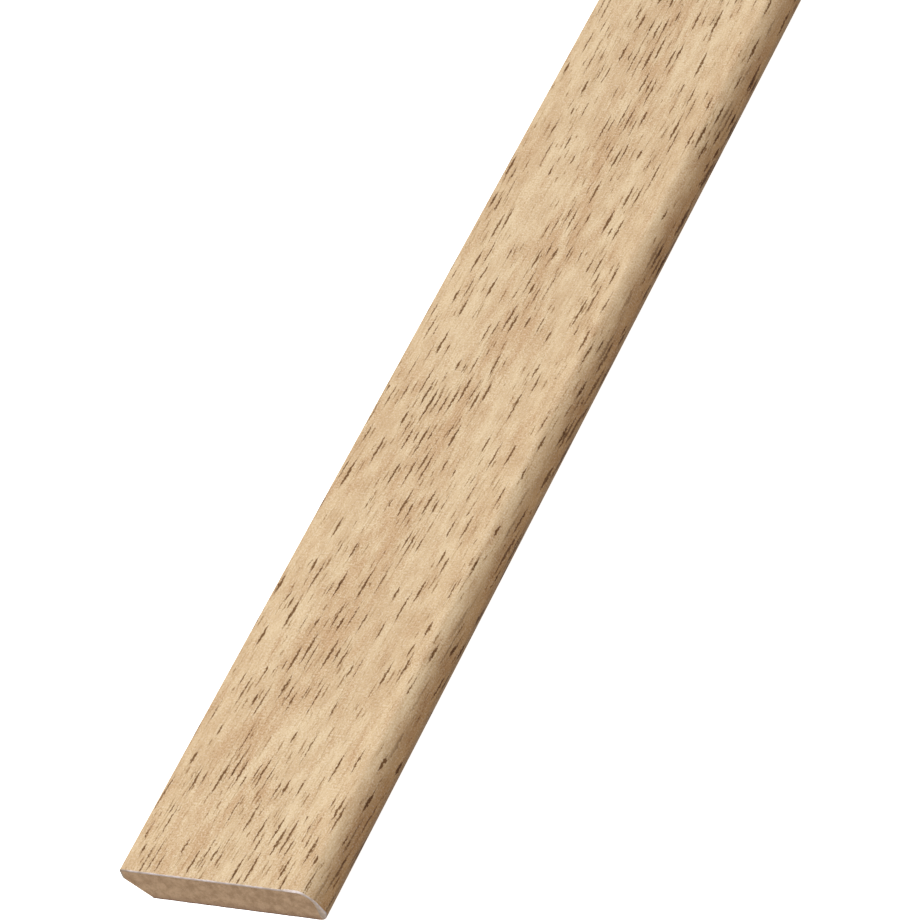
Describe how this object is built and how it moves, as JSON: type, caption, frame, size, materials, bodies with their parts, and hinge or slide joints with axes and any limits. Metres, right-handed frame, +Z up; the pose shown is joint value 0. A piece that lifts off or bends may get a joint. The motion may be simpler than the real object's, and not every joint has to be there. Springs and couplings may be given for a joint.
{
  "type": "threshold strip",
  "caption": "Low threshold strip: a flat bar with an undercut nose and a rounded ramp, wrapped in a light oak printed foil over a fibreboard core.",
  "frame": {"origin": "middle of the underside, half way along the strip", "axes": "+X across the strip from the undercut nose to the ramp, +Y along the strip, +Z up out of the top face"},
  "size_m": [0.04, 0.9, 0.007],
  "materials": {
    "mdf": "matte",
    "hot_melt": "satin",
    "oak_foil": "satin",
    "kraft_paper": "matte"
  },
  "bodies": {
    "root": {"mdf_core": "mdf", "glue_film": "hot_melt", "decor_foil": "oak_foil", "backing_paper": "kraft_paper"}
  },
  "joints": []
}
